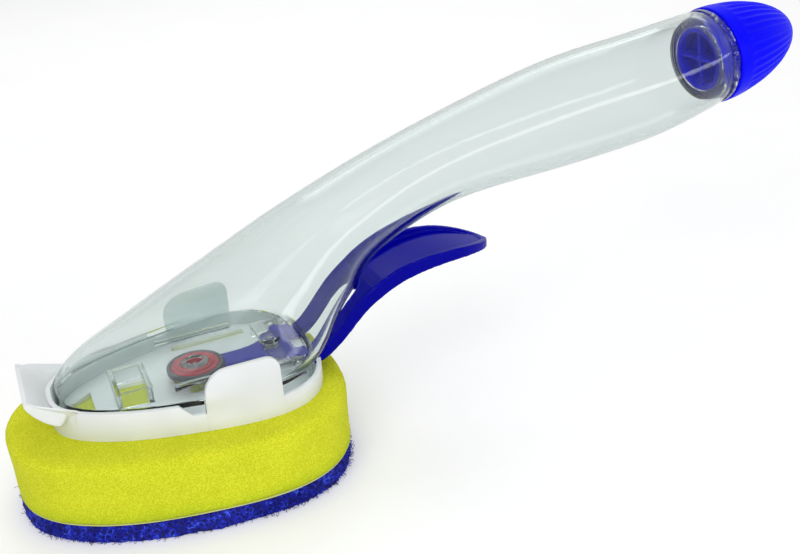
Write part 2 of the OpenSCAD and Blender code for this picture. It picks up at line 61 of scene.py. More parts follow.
class WandShellSettings(bpy.types.PropertyGroup):
    """Clear body and neck."""

    wall: bpy.props.FloatProperty(
        name="Wall", description="Wall thickness of the clear body", default=1.8 * MM, unit="LENGTH")
    tint: bpy.props.FloatVectorProperty(
        name="Tint", description="Colour that one wall gives to light passing through it",
        default=(0.972, 0.985, 0.982), subtype="COLOR", min=0, max=1)
    ring_points: bpy.props.IntProperty(
        name="Ring points", description="Points round each section of the clear body", default=64, min=24)


class WandCapSettings(bpy.types.PropertyGroup):
    """Screw cap."""

    flutes: bpy.props.IntProperty(name="Flutes", description="Grip flutes round the cap", default=36, min=12)
    flute_depth: bpy.props.FloatProperty(
        name="Flute depth", description="Depth of a flute", default=0.42 * MM, unit="LENGTH")
    colour: bpy.props.FloatVectorProperty(
        name="Cap colour", description="Blue of the cap", default=(0.001, 0.001, 0.93), subtype="COLOR", min=0, max=1)


class WandLeverSettings(bpy.types.PropertyGroup):
    """Squeeze lever."""

    softness: bpy.props.IntProperty(
        name="Edge softness", description="Smoothing passes on the lever's edges", default=5, min=1)
    colour: bpy.props.FloatVectorProperty(
        name="Lever colour", description="Blue of the lever", default=(0.0004, 0.0004, 0.3), subtype="COLOR",
        min=0, max=1)


class WandRefillSettings(bpy.types.PropertyGroup):
    """Sponge refill."""

    edge_round: bpy.props.FloatProperty(
        name="Foam edge", description="Rounding of the foam's upper edge", default=2.6 * MM, unit="LENGTH")
    foam_colour: bpy.props.FloatVectorProperty(
        name="Foam colour", description="Yellow of the foam", default=(0.63, 0.65, 0.004), subtype="COLOR",
        min=0, max=1)
    scour_colour: bpy.props.FloatVectorProperty(
        name="Scourer colour", description="Blue of the scouring layer", default=(0.006, 0.012, 0.5),
        subtype="COLOR", min=0, max=1)
    fibres: bpy.props.IntProperty(
        name="Fibres", description="Loose fibres on the scourer's edge", default=9000, min=0)


class WandStageSettings(bpy.types.PropertyGroup):
    """Floor, lamps and camera."""

    lens: bpy.props.FloatProperty(name="Lens", description="Focal length of the camera", default=45.0, min=20)
    key_power: bpy.props.FloatProperty(name="Key lamp", description="Power of the main lamp", default=1.4, min=0)
    sky: bpy.props.FloatProperty(name="Sky", description="Strength of the even light", default=0.72, min=0)


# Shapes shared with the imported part

# Height of the skirt's top, from which the sections' rises are counted, in millimetres
SKIRT_TOP = 35.2
# x and rise of the crown, x and rise of the belly, half width, skew and fullness, in millimetres
STATIONS = [
    (-34.8, 0, 42, 0, 28.4, 0.32, 2.7),
    (-33.7, 2, 44.6, 1.6, 28.4, 0.34, 2.8),
    (-28.2, 7.2, 48, 4.6, 28.2, 0.27, 2.6),
    (-14.4, 14, 53.8, 10.2, 25.2, 0.14, 2.3),
    (10.1, 26.5, 60, 15.2, 21.3, 0.05, 2.1),
    (42, 42.1, 69, 23.3, 16.3, 0, 2),
    (79.7, 56.4, 95.3, 32.9, 14, 0, 2),
    (130.1, 70.3, 136.7, 36.2, 17.2, 0, 2),
    (165, 75.1, 170.6, 39.7, 17.6, 0, 2),
    (192.076, 78.82, 196.924, 46.38, 16.4, 0, 2),
]
# Edge of the brim beside the thumb lip, from its corner back to the rim, in millimetres
LIP_BRIM = [
    (-42.9, 12.9, 40.4), (-42.2, 12.9, 38.6), (-41.2, 12.8, 37.0), (-40.0, 12.9, 35.5), (-38.5, 13.1, 34.0),
    (-36.8, 13.3, 32.8), (-34.6, 13.6, 31.6)]
GRIP_PITCH = math.radians(8.5)
GRIP_END = Vector((194.5, 0, SKIRT_TOP + 62.6))
# The body's skirt: its foot, and the arch that lets the lever's legs out, in millimetres
SKIRT_FOOT = 28.0
ARCH_HALF = 15.0
ARCH_TOP = 32.7
# The rim of the refill plate, in metres: an oval about RIM_X, wider behind
RIM_X = 0.0036
RIM_HALF_LENGTH = 0.0402
RIM_HALF_WIDTH = 0.0302
RIM_SKEW = 0.32
RIM_FULL = 2.7
# The tall clips, in metres: where they start and end along X, the plane inside them and the top of their feet
CLIP_LOW_X, CLIP_HIGH_X = 0.0036, 0.0256
CLIP_INSIDE_Y = 0.0286
CLIP_FOOT_TOP = 0.039
# The solids' core is deeper than the real one: this share of its depth in the grip is taken off
CORE_SHORTER = 0.6


def signed_power(value, power):
    return math.copysign(abs(value) ** power, value)


def oval_peak(skew, full):
    return max((1 + skew * x / 50) * (1 - abs(x / 50) ** full) ** (1 / full) for x in range(-50, 51))


def spline(rows, s):
    """Catmull-Rom curve through rows of numbers, s from 0 to 1."""
    last = len(rows) - 1
    place = min(max(s, 0), 1) * last
    i = min(int(place), last - 1)
    t = place - i

    def row(k):
        if k < 0:
            return [2 * a - b for a, b in zip(rows[0], rows[1])]
        if k > last:
            return [2 * a - b for a, b in zip(rows[last], rows[last - 1])]
        return rows[k]

    return [
        0.5 * (2 * b + (c - a) * t + (2 * a - 5 * b + 4 * c - d) * t * t + (3 * b - a - 3 * c + d) * t ** 3)
        for a, b, c, d in zip(row(i - 1), row(i), row(i + 1), row(i + 2))
    ]


def section_point(station, turn):
    """A point of a body section in millimetres; turn is the angle from the belly side."""
    crown_x, crown_z, belly_x, belly_z, half, skew, full = station
    u = signed_power(math.cos(turn), 2 / full)
    v = signed_power(math.sin(turn), 2 / full)
    x = (crown_x + belly_x) / 2 + u * (belly_x - crown_x) / 2
    z = (crown_z + belly_z) / 2 + u * (belly_z - crown_z) / 2
    y = half * v * (1 + skew * u) / oval_peak(skew, full)
    return Vector((x, y, SKIRT_TOP + z))


def on_grip(point):
    """Takes a point drawn along Z from the end of the grip into the frame, in millimetres."""
    turn = Matrix.Rotation(math.pi / 2 - GRIP_PITCH, 4, "Y")
    return GRIP_END + turn @ Vector(point)


# Mesh helpers


def add_piece(name, mesh, body, slot, material, *nodes):
    """Links a finished mesh, makes it ride on a body and stand for CAD nodes."""
    piece = bpy.data.objects.new(name, mesh)
    bpy.context.scene.collection.objects.link(piece)
    piece.data.materials.clear()
    piece.data.materials.append(material)
    for face in piece.data.polygons:
        face.use_smooth = True
    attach(piece, body)
    if nodes:
        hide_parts(*nodes)
    return piece


def mesh_from(bm, name, scale=MM):
    """Turns a bmesh in millimetres into a mesh in metres."""
    if scale != 1:
        bmesh.ops.scale(bm, vec=(scale, scale, scale), verts=bm.verts)
    mesh = bpy.data.meshes.new(name)
    bm.to_mesh(mesh)
    bm.free()
    return mesh


def add_ring(bm, points):
    """A closed loop of edges through the points; returns its edges."""
    made = bmesh.ops.create_circle(bm, segments=len(points), radius=1)
    for vert, point in zip(made["verts"], points):
        vert.co = point
    return list({edge for vert in made["verts"] for edge in vert.link_edges})


def bridge(bm, rings):
    for first, second in zip(rings, rings[1:]):
        bmesh.ops.bridge_loops(bm, edges=first + second)


def close_ring(bm, ring):
    """Closes a loop with a small fan about its own centre."""
    made = bmesh.ops.contextual_create(bm, geom=ring)
    bmesh.ops.poke(bm, faces=made["faces"])


def outward(bm):
    bmesh.ops.remove_doubles(bm, verts=bm.verts, dist=1e-4)
    bmesh.ops.recalc_face_normals(bm, faces=bm.faces)


def join_in(bm, extra):
    """Adds the faces of a second bmesh to the first and frees the second."""
    mesh = bpy.data.meshes.new("spare")
    extra.to_mesh(mesh)
    extra.free()
    bm.from_mesh(mesh)
    bpy.data.meshes.remove(mesh)


def work_object(name, data):
    """A helper object whose modifiers are baked and which is then removed."""
    work = bpy.data.objects.new(name, data)
    bpy.context.scene.collection.objects.link(work)
    return work


def merged_copy(node, flat=False):
    """A copy of a CAD node with its loose triangles merged, and its flat faces joined if asked."""
    bm = bmesh.new()
    bm.from_mesh(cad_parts[node].data)
    bmesh.ops.remove_doubles(bm, verts=bm.verts, dist=1e-6)
    if flat:
        bmesh.ops.dissolve_limit(bm, angle_limit=math.radians(1), verts=bm.verts, edges=bm.edges)
    return bm


def baked(source):
    """Applies a piece's modifiers and returns the plain mesh."""
    bpy.context.view_layer.update()
    graph = bpy.context.evaluated_depsgraph_get()
    mesh = bpy.data.meshes.new_from_object(source.evaluated_get(graph))
    bpy.data.objects.remove(source)
    return mesh


def moulded_copy(node, voxel, passes):
    """A copy of a CAD node with its mesh merged, remeshed and softened, as moulded plastic is."""
    work = work_object(node + "_work", mesh_from(merged_copy(node), node + "_copy", 1))
    remesh = work.modifiers.new("skin", "REMESH")
    remesh.mode = "VOXEL"
    remesh.voxel_size = voxel
    soften = work.modifiers.new("soften", "SMOOTH")
    soften.factor = 0.5
    soften.iterations = passes
    return baked(work)


def eased_copy(node, width, shape=None):
    """A copy of a CAD node with its mesh merged, reshaped if asked, and its sharp edges eased."""
    bm = merged_copy(node, flat=True)
    if shape:
        shape(bm)
    work = work_object(node + "_work", mesh_from(bm, node + "_copy", 1))
    edge = work.modifiers.new("edge", "BEVEL")
    edge.width = width
    edge.segments = 2
    edge.limit_method = "ANGLE"
    edge.angle_limit = math.radians(40)
    edge.harden_normals = False
    mesh = baked(work)
    bm = bmesh.new()
    bm.from_mesh(mesh)
    for line in bm.edges:
        line.smooth = line.calc_face_angle(0) < math.radians(32)
    bm.to_mesh(mesh)
    bm.free()
    return mesh


def spun_piece(profile, steps, place):
    """Spins a closed profile of radius and height round Z; place maps a point into the frame."""
    bm = bmesh.new()
    made = bmesh.ops.create_circle(bm, segments=len(profile), radius=1)
    for vert, (radius, height) in zip(made["verts"], profile):
        vert.co = Vector((radius, 0, height))
    edges = list({edge for vert in made["verts"] for edge in vert.link_edges})
    bmesh.ops.spin(
        bm, geom=made["verts"] + edges, cent=(0, 0, 0), axis=(0, 0, 1), angle=math.tau, steps=steps,
        use_merge=True, use_duplicate=False)
    outward(bm)
    for vert in bm.verts:
        vert.co = place(vert.co)
    return bm


def rounded_profile(inner, outer, low, high, r, steps=5):
    """A rectangle of radius and height with rounded corners, as a closed list of points."""
    corners = [
        (outer - r, low + r, -90), (outer - r, high - r, 0), (inner + r, high - r, 90), (inner + r, low + r, 180)]
    points = []
    for cx, cz, start in corners:
        for k in range(steps + 1):
            turn = math.radians(start + 90 * k / steps)
            points.append((cx + r * math.cos(turn), cz + r * math.sin(turn)))
    return points


# Materials


def new_shader(name):
    """A material with its Principled shader and helpers to add nodes and links."""
    material = bpy.data.materials.new(name)
    material.use_nodes = True
    nodes, links = material.node_tree.nodes, material.node_tree.links
    shader = nodes["Principled BSDF"]
    place = nodes.new("ShaderNodeTexCoord").outputs["Object"]
    return material, nodes, links, shader, place


def noise_node(nodes, links, place, scale, detail=3.0, rough=0.5):
    node = nodes.new("ShaderNodeTexNoise")
    node.inputs["Scale"].default_value = scale
    node.inputs["Detail"].default_value = detail
    node.inputs["Roughness"].default_value = rough
    links.new(place, node.inputs["Vector"])
    return node.outputs["Fac"]


def map_range(nodes, links, value, low, high, to_low, to_high):
    node = nodes.new("ShaderNodeMapRange")
    for name, number in (("From Min", low), ("From Max", high), ("To Min", to_low), ("To Max", to_high)):
        node.inputs[name].default_value = number
    links.new(value, node.inputs["Value"])
    return node.outputs["Result"]


def add_bump(nodes, links, shader, height, strength, distance, under=None):
    node = nodes.new("ShaderNodeBump")
    node.inputs["Strength"].default_value = strength
    node.inputs["Distance"].default_value = distance
    links.new(height, node.inputs["Height"])
    if under is not None:
        links.new(under, node.inputs["Normal"])
    links.new(node.outputs["Normal"], shader.inputs["Normal"])
    return node.outputs["Normal"]


def colour_ramp(nodes, links, value, stops):
    node = nodes.new("ShaderNodeValToRGB")
    ramp = node.color_ramp
    while len(ramp.elements) < len(stops):
        ramp.elements.new(0.5)
    for element, (position, colour) in zip(ramp.elements, stops):
        element.position = position
        element.color = (*colour, 1)
    links.new(value, node.inputs["Fac"])
    return node.outputs["Color"]


def multiply(nodes, links, first, second):
    """Multiplies two colours."""
    mix = nodes.new("ShaderNodeMix")
    mix.data_type = "RGBA"
    mix.blend_type = "MULTIPLY"
    mix.inputs[0].default_value = 1.0
    links.new(first, mix.inputs[6])
    links.new(second, mix.inputs[7])
    return mix.outputs[2]


def moulded_plastic(name, colour, rough, grain=0.04, gloss=0.5):
    """Injection moulded plastic with faint flow marks and a fine grain."""
    material, nodes, links, shader, place = new_shader(name)
    flow = noise_node(nodes, links, place, 45, 2)
    deep = tuple(c * 0.9 for c in colour)
    links.new(colour_ramp(nodes, links, flow, [(0.3, deep), (0.7, colour)]), shader.inputs["Base Color"])
    links.new(map_range(nodes, links, flow, 0.3, 0.7, rough - 0.03, rough + 0.04), shader.inputs["Roughness"])
    shader.inputs["IOR"].default_value = 1.33
    shader.inputs["Specular IOR Level"].default_value = gloss
    fine = noise_node(nodes, links, place, 2600, 2)
    add_bump(nodes, links, shader, fine, grain, 0.0001)
    return material


def clear_plastic(name, tint, rough=0.015, depth=175):
    """Clear plastic that bends light and takes more of it where the wall is deeper; lamps still reach the inside."""
    material, nodes, links, shader, place = new_shader(name)
    shader.inputs["Base Color"].default_value = (*tint, 1)
    shader.inputs["Transmission Weight"].default_value = 1.0
    shader.inputs["IOR"].default_value = 1.31
    shader.inputs["Specular Tint"].default_value = (0.6, 0.6, 0.62, 1)
    ripple = noise_node(nodes, links, place, 60, 2)
    links.new(map_range(nodes, links, ripple, 0.35, 0.65, rough, rough + 0.03), shader.inputs["Roughness"])
    add_bump(nodes, links, shader, ripple, 0.05, 0.0006)
    passing = nodes.new("ShaderNodeBsdfTransparent")
    passing.inputs["Color"].default_value = (1, 1, 1, 1)
    rays = nodes.new("ShaderNodeLightPath")
    mix = nodes.new("ShaderNodeMixShader")
    links.new(rays.outputs["Is Shadow Ray"], mix.inputs[0])
    links.new(shader.outputs["BSDF"], mix.inputs[1])
    links.new(passing.outputs["BSDF"], mix.inputs[2])
    links.new(mix.outputs["Shader"], nodes["Material Output"].inputs["Surface"])
    if depth:
        taken = nodes.new("ShaderNodeVolumeAbsorption")
        taken.inputs["Color"].default_value = (0.54, 0.645, 0.62, 1)
        taken.inputs["Density"].default_value = depth
        links.new(taken.outputs["Volume"], nodes["Material Output"].inputs["Volume"])
    return material


def rubber(name, colour, rough=0.42):
    material, nodes, links, shader, place = new_shader(name)
    shader.inputs["Specular IOR Level"].default_value = 0.15
    cloud = noise_node(nodes, links, place, 160, 4)
    dark = tuple(c * 0.72 for c in colour)
    links.new(colour_ramp(nodes, links, cloud, [(0.3, dark), (0.7, colour)]), shader.inputs["Base Color"])
    links.new(map_range(nodes, links, cloud, 0.3, 0.7, rough - 0.05, rough + 0.1), shader.inputs["Roughness"])
    add_bump(nodes, links, shader, noise_node(nodes, links, place, 1800, 3), 0.12, 0.0002)
    return material


def steel(name, colour, rough):
    material, nodes, links, shader, place = new_shader(name)
    shader.inputs["Metallic"].default_value = 1.0
    brush = noise_node(nodes, links, place, 900, 5)
    dark = tuple(c * 0.7 for c in colour)
    links.new(colour_ramp(nodes, links, brush, [(0.25, dark), (0.75, colour)]), shader.inputs["Base Color"])
    links.new(map_range(nodes, links, brush, 0.3, 0.7, rough, rough + 0.15), shader.inputs["Roughness"])
    add_bump(nodes, links, shader, brush, 0.2, 0.00005)
    return material


def foam_material(name, colour):
    """Open cell foam: small pits between thin walls, with painted shade in the pits, a painted highlight on top of the
    walls and painted shade towards the glued bottom edge.
    """
    material, nodes, links, shader, place = new_shader(name)
    cells = nodes.new("ShaderNodeTexVoronoi")
    cells.inputs["Scale"].default_value = 2200
    links.new(place, cells.inputs["Vector"])
    small = nodes.new("ShaderNodeTexVoronoi")
    small.inputs["Scale"].default_value = 4600
    links.new(place, small.inputs["Vector"])
    blend = nodes.new("ShaderNodeMath")
    blend.operation = "MULTIPLY_ADD"
    links.new(small.outputs["Distance"], blend.inputs[0])
    blend.inputs[1].default_value = 0.5
    links.new(cells.outputs["Distance"], blend.inputs[2])
    cloud = noise_node(nodes, links, place, 90, 3)
    # Painted shade and highlight: the pits are darker than the foam, and the tops of the cell walls lighter.
    deep = (colour[0] * 0.74, colour[1] * 0.78, colour[2] * 0.5)
    pit_shade_and_highlight = colour_ramp(nodes, links, blend.outputs["Value"], [(0.12, deep), (0.55, colour), (0.95, (0.76, 0.78, 0.04))])
    drift = colour_ramp(nodes, links, cloud, [(0.3, (0.9, 0.93, 0.8)), (0.7, (1, 1, 1))])
    # Painted shade: the foam is darker and greener below 14.5 mm height, most at 6.8 mm, near its glued bottom edge.
    split = nodes.new("ShaderNodeSeparateXYZ")
    links.new(place, split.inputs["Vector"])
    low = map_range(nodes, links, split.outputs["Z"], 0.0068, 0.0145, 0.0, 1.0)
    shade = colour_ramp(nodes, links, low, [(0.0, (0.72, 0.84, 0.6)), (0.5, (0.94, 0.98, 0.9)), (1.0, (1, 1, 1))])
    patchy = multiply(nodes, links, pit_shade_and_highlight, drift)
    links.new(multiply(nodes, links, patchy, shade), shader.inputs["Base Color"])
    shader.inputs["Roughness"].default_value = 0.9
    shader.inputs["Subsurface Weight"].default_value = 0.12
    shader.inputs["Subsurface Radius"].default_value = (1, 0.9, 0.1)
    shader.inputs["Subsurface Scale"].default_value = 0.002
    shader.inputs["Specular IOR Level"].default_value = 0.2
    add_bump(nodes, links, shader, blend.outputs["Value"], 0.5, 0.0004)
    return material


def scourer_material(name, colour):
    """Non-woven fibre web: blue strands with painted shade in the gaps between them."""
    material, nodes, links, shader, place = new_shader(name)
    strands = nodes.new("ShaderNodeTexVoronoi")
    strands.feature = "DISTANCE_TO_EDGE"
    strands.inputs["Scale"].default_value = 700
    warp = noise_node(nodes, links, place, 420, 4, 0.7)
    links.new(place, strands.inputs["Vector"])
    web = nodes.new("ShaderNodeMath")
    web.operation = "SUBTRACT"
    links.new(warp, web.inputs[0])
    links.new(strands.outputs["Distance"], web.inputs[1])
    # Painted shade: the gaps between the strands take a darker blue than the strands.
    light = (colour[0] * 8 + 0.03, colour[1] * 10 + 0.06, min(1, colour[2] * 1.9))
    dark = tuple(c * 0.25 for c in colour)
    links.new(
        colour_ramp(nodes, links, web.outputs["Value"], [(0.28, dark), (0.48, colour), (0.66, light)]),
        shader.inputs["Base Color"])
    shader.inputs["Roughness"].default_value = 0.7
    shader.inputs["Specular IOR Level"].default_value = 0.3
    add_bump(nodes, links, shader, web.outputs["Value"], 0.9, 0.0008)
    return material


def backdrop_rays(nodes, links):
    """1 on rays that show the backdrop: straight from the camera, off gloss or through clear plastic."""
    rays = nodes.new("ShaderNodeLightPath")
    share = rays.outputs["Is Camera Ray"]
    for name in ("Is Glossy Ray", "Is Transmission Ray"):
        either = nodes.new("ShaderNodeMath")
        either.operation = "MAXIMUM"
        links.new(share, either.inputs[0])
        links.new(rays.outputs[name], either.inputs[1])
        share = either.outputs["Value"]
    return share


# Pieces


class WAND_OT_clear_body(bpy.types.Operator):
    """Builds the hollow clear body from its loft sections"""

    bl_idname = "wand.clear_body"
    bl_label = "Clear body"

    def execute(self, context):
        settings = context.scene.wand_shell
        count = settings.ring_points
        bm = bmesh.new()
        rings = []
        steps = 48
        turns = [math.tau * i / count for i in range(count)]
        base = [section_point(STATIONS[0], turn) for turn in turns]

        def foot(point):
            raised = point.x > 0 and abs(point.y) < ARCH_HALF
            return Vector((point.x, point.y, ARCH_TOP if raised else SKIRT_FOOT))

        rings.append(add_ring(bm, [foot(p) for p in base]))
        rings.append(add_ring(bm, [foot(p).lerp(p, 0.15) for p in base]))
        for i in range(steps + 1):
            station = spline(STATIONS, i / steps)
            rings.append(add_ring(bm, [section_point(station, turn) for turn in turns]))
        bridge(bm, rings)
        outward(bm)
        mesh = mesh_from(bm, "clear_body")
        material = clear_plastic("clear_plastic", settings.tint)
        body = add_piece("clear_body", mesh, "wand", "clear_plastic", material, "reservoir_shell")
        wall = body.modifiers.new("wall", "SOLIDIFY")
        wall.thickness = settings.wall
        wall.offset = -1
        wall.use_even_offset = False
        fine = body.modifiers.new("fine", "SUBSURF")
        fine.levels = fine.render_levels = 1
        return {"FINISHED"}


class WAND_OT_cap(bpy.types.Operator):
    """Builds the domed screw cap with its fading flutes"""

    bl_idname = "wand.cap"
    bl_label = "Screw cap"

    def execute(self, context):
        settings = context.scene.wand_cap
        base_r, length, wall, collar = 16.5, 33.5, 1.8, 4.6
        foot = 2.3
        count = settings.flutes * 8
        depth = settings.flute_depth / MM

        def radius(z):
            return base_r * math.sqrt(max(0, 1 - (max(0, z - 1) / (length - 1)) ** 1.75))

        def flute(z, turn):
            if z < collar:
                return 0
            fade = min(1, (z - collar) / 1.2) * min(1, max(0, (length - z) / 12 - 0.1))
            return depth * fade * (0.5 - 0.5 * math.cos(settings.flutes * turn)) ** 0.7

        levels = [0, 0.25, 1, collar - 0.7, collar - 0.15]
        levels += [collar + (length * 0.997 - collar) * math.sin(math.pi / 2 * i / 26) for i in range(27)]
        bm = bmesh.new()
        rings = []
        inner = [length - wall, length * 0.9, length * 0.7, length * 0.35, 0.4, 0]
        for z in inner:
            r = max(0.6, radius(z) - wall)
            rings.append(add_ring(bm, [(r * math.cos(a), r * math.sin(a), z) for a in self.turns(count)]))
        for z in levels:
            r = radius(z) - (0.2 if z == 0 else 0)
            points = []
            for a in self.turns(count):
                rr = r - flute(z, a)
                points.append((rr * math.cos(a), rr * math.sin(a), z))
            rings.append(add_ring(bm, points))
        bridge(bm, rings)
        close_ring(bm, rings[0])
        close_ring(bm, rings[-1])
        outward(bm)
        for vert in bm.verts:
            vert.co = on_grip(vert.co + Vector((0, 0, foot)))
        material = moulded_plastic("blue_cap", settings.colour, 0.4, 0.08, 0.12)
        add_piece("cap_dome", mesh_from(bm, "cap_dome"), "cap", "blue_cap", material, "end_cap")
        return {"FINISHED"}

    @staticmethod
    def turns(count):
        return [math.tau * i / count for i in range(count)]


class WAND_OT_neck(bpy.types.Operator):
    """Builds the threaded neck, the gasket and the cap's threaded core"""

    bl_idname = "wand.neck"
    bl_label = "Neck and core"

    def execute(self, context):
        tint = context.scene.wand_shell.tint
        sleeve, bore, deep = 14.3, 11.0, 3.6
        profile = rounded_profile(bore, sleeve, -deep, 0.2, 0.3)
        bm = spun_piece(profile, 96, on_grip)
        join_in(bm, spun_piece(rounded_profile(bore, 16.2, 0, 1.5, 0.25), 96, on_grip))
        for start in (-2.9, -1.5):
            self.add_thread(bm, sleeve + 0.15, start, 1.4, 0.3, 1.0)
        clear = clear_plastic("neck_clear", tint, 0.015, 0)
        add_piece("neck_sleeve", mesh_from(bm, "neck_sleeve"), "wand", "neck_clear", clear, "neck_insert")
        bm = spun_piece(rounded_profile(11.3, 15.8, 1.5, 2.3, 0.2), 96, on_grip)
        add_piece(
            "cap_washer", mesh_from(bm, "cap_washer"), "cap_carrier", "gasket_rubber",
            clear_plastic("gasket_rubber", (0.82, 0.84, 0.9), 0.12, 0), "cap_gasket")
        core = moulded_plastic("blue_core", (0.002, 0.002, 0.5), 0.36, 0.04, 0.3)
        mesh = moulded_copy("cap_core", 0.00035, 4)
        axis = on_grip((0, 0, 1)) - GRIP_END
        for vert in mesh.vertices:
            depth = axis.dot(vert.co - GRIP_END * MM)
            if depth < 0:
                vert.co -= axis * depth * CORE_SHORTER
        add_piece("core_plug", mesh, "cap", "blue_core", core, "cap_core")
        bm = bmesh.new()
        for start in (-2.8, -1.4, 0):
            self.add_thread(bm, 10.75, start, 1.4, 0.3, 1.0)
        mesh = mesh_from(bm, "core_thread")
        add_piece("core_thread", mesh, "cap", "blue_core", core)
        return {"FINISHED"}

    @staticmethod
    def add_thread(bm, radius, start, pitch, size, turns):
        """A ridge that climbs by its pitch in each turn, with both ends closed."""
        steps = 72
        made = bmesh.ops.create_circle(bm, segments=8, radius=size, cap_ends=True)
        turn = Matrix.Translation((radius, 0, start)) @ Matrix.Rotation(math.pi / 2, 4, "X")
        bmesh.ops.transform(bm, matrix=turn, verts=made["verts"])
        faces = list({face for vert in made["verts"] for face in vert.link_faces})
        edges = list({edge for vert in made["verts"] for edge in vert.link_edges})
        before = set(bm.verts) - set(made["verts"])
        bmesh.ops.spin(
            bm, geom=made["verts"] + edges + faces, cent=(0, 0, 0), axis=(0, 0, 1), dvec=(0, 0, pitch * turns / steps),
            angle=math.tau * turns * 0.96, steps=steps, use_merge=False, use_duplicate=False)
        fresh = [vert for vert in bm.verts if vert not in before]
        bmesh.ops.recalc_face_normals(bm, faces=list({face for vert in fresh for face in vert.link_faces}))
        for vert in fresh:
            vert.co = on_grip(vert.co)


class WAND_OT_valve(bpy.types.Operator):
    """Builds the stepped red seal and its keeper, coloured near-black as painted shade"""

    bl_idname = "wand.valve"
    bl_label = "Soap valve"

    def execute(self, context):
        low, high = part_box("valve_seal")
        centre = Vector(((low.x + high.x) / 2, 0, 0)) / MM
        bottom, top = low.z / MM, high.z / MM

        def place(point):
            return Vector(point) + centre

        outer = rounded_profile(4.25, 7.35, bottom, top - 0.5, 0.7)
        inner = rounded_profile(4.25, 5.9, top - 0.9, top, 0.35)
        red = rubber("red_rubber", (0.4, 0.0, 0.02), 0.22)
        bm = spun_piece(outer, 96, place)
        join_in(bm, spun_piece(inner, 96, place))
        add_piece("seal_ring", mesh_from(bm, "seal_ring"), "wand", "red_rubber", red, "valve_seal")
        low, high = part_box("seal_keeper")
        bm = spun_piece(rounded_profile(7.4, 8.6, low.z / MM, high.z / MM, 0.3), 96, place)
        # Painted shade: the keeper is coloured near-black in place of the shade on the collar round the seal.
        keeper_shade = moulded_plastic("slate_plastic", (0.028, 0.03, 0.045), 0.4)
        add_piece("keeper_ring", mesh_from(bm, "keeper_ring"), "wand", "slate_plastic", keeper_shade, "seal_keeper")
        return {"FINISHED"}


class WAND_OT_lever(bpy.types.Operator):
    """Softens the squeeze lever and gives it gloss blue plastic"""

    bl_idname = "wand.lever"
    bl_label = "Squeeze lever"

    def execute(self, context):
        settings = context.scene.wand_lever
        mesh = moulded_copy("trigger_lever", 0.00034, settings.softness)
        blue = moulded_plastic("blue_lever", settings.colour, 0.14, 0.03, 0.1)
        add_piece("lever_moulding", mesh, "lever", "blue_lever", blue, "trigger_lever")
        return {"FINISHED"}


class WAND_OT_plate(bpy.types.Operator):
    """Softens the refill plate with its tabs and thumb lip"""

    bl_idname = "wand.plate"
    bl_label = "Refill plate"

    def execute(self, context):
        white = moulded_plastic("white_plate", (0.80, 0.82, 0.83), 0.34, 0.04, 0.4)
        mesh = eased_copy("sponge_plate", 0.00022, self.draw_in_tabs)
        add_piece("plate_moulding", mesh, "refill", "white_plate", white, "sponge_plate")
        wings = add_piece("lip_wings", self.wings(), "refill", "white_plate", white)
        thick = wings.modifiers.new("thick", "SOLIDIFY")
        thick.thickness = 1.1 * MM
        thick.offset = 0
        fine = wings.modifiers.new("fine", "SUBSURF")
        fine.levels = fine.render_levels = 1
        return {"FINISHED"}

    @staticmethod
    def draw_in_tabs(bm):
        """Bends the foot of each tab in to the rim, so that it grows out of the rim's outline."""

        def in_clip(vert):
            return CLIP_LOW_X - 1e-5 < vert.co.x < CLIP_HIGH_X + 1e-5 and abs(vert.co.y) > CLIP_INSIDE_Y

        def clip_faces():
            return {face for face in bm.faces if all(in_clip(vert) for vert in face.verts)}

        faces = clip_faces()
        for axis, cuts in (((0, 0, 1), (0.029, 0.031, 0.033, 0.035, 0.037, 0.039)), ((1, 0, 0), (0.008, 0.013, 0.019))):
            for cut in cuts:
                edges = {edge for face in faces for edge in face.edges}
                verts = {vert for face in faces for vert in face.verts}
                place = tuple(cut * value for value in axis)
                bmesh.ops.bisect_plane(
                    bm, geom=list(faces) + list(edges) + list(verts), plane_co=place, plane_no=axis, dist=1e-6)
                faces = clip_faces()
        for vert in {v for f in faces for v in f.verts}:
            if vert.co.z < CLIP_FOOT_TOP:
                u = (vert.co.x - RIM_X) / RIM_HALF_LENGTH
                oval = (1 + RIM_SKEW * u) * (1 - min(1, abs(u)) ** RIM_FULL) ** (1 / RIM_FULL)
                rim = RIM_HALF_WIDTH * oval / oval_peak(RIM_SKEW, RIM_FULL)
                share = min(1, (CLIP_FOOT_TOP - vert.co.z) / 0.008)
                move = max(0, RIM_HALF_WIDTH - rim - 0.0001) * share * share * (3 - 2 * share)
                vert.co.y -= math.copysign(move, vert.co.y)

    @staticmethod
    def wings():
        """The brim that runs from each corner of the thumb lip down to the rim."""
        bm = bmesh.new()
        last = len(LIP_BRIM) - 1
        for side in (-1, 1):
            corner, back = Vector((-42.9, side * 12.5, 41.7)), Vector((-31.5, side * 12.5, 35.2))
            rows = []
            for k in range(4):
                sag = Vector((0, 0, -0.4 * math.sin(math.pi * k / 3)))
                rows.append([
                    corner.lerp(back, i / last).lerp(Vector((x, side * y, z)), k / 3) + sag
                    for i, (x, y, z) in enumerate(LIP_BRIM)])
            verts = [[bm.verts.new(point) for point in row] for row in rows]
            lines = [[bm.edges.new(pair) for pair in zip(row, row[1:])] for row in verts]
            for first, second in zip(lines, lines[1:]):
                bmesh.ops.bridge_loops(bm, edges=first + second)
        bmesh.ops.recalc_face_normals(bm, faces=bm.faces)
        return mesh_from(bm, "lip_wings")


class WAND_OT_foam(bpy.types.Operator):
    """Builds the foam block with rounded edges and an uneven cut surface"""

    bl_idname = "wand.foam"
    bl_label = "Foam block"

    def execute(self, context):
        settings = context.scene.wand_refill
        mesh = oval_block(
            "foam_block", foam_low, foam_high, settings.edge_round, 0.0009, 0.00012, 420, 11, 0.0004)
        material = foam_material("yellow_foam", settings.foam_colour)
        foam = add_piece("foam_block", mesh, "refill", "yellow_foam", material, "sponge")
        return {"FINISHED"}


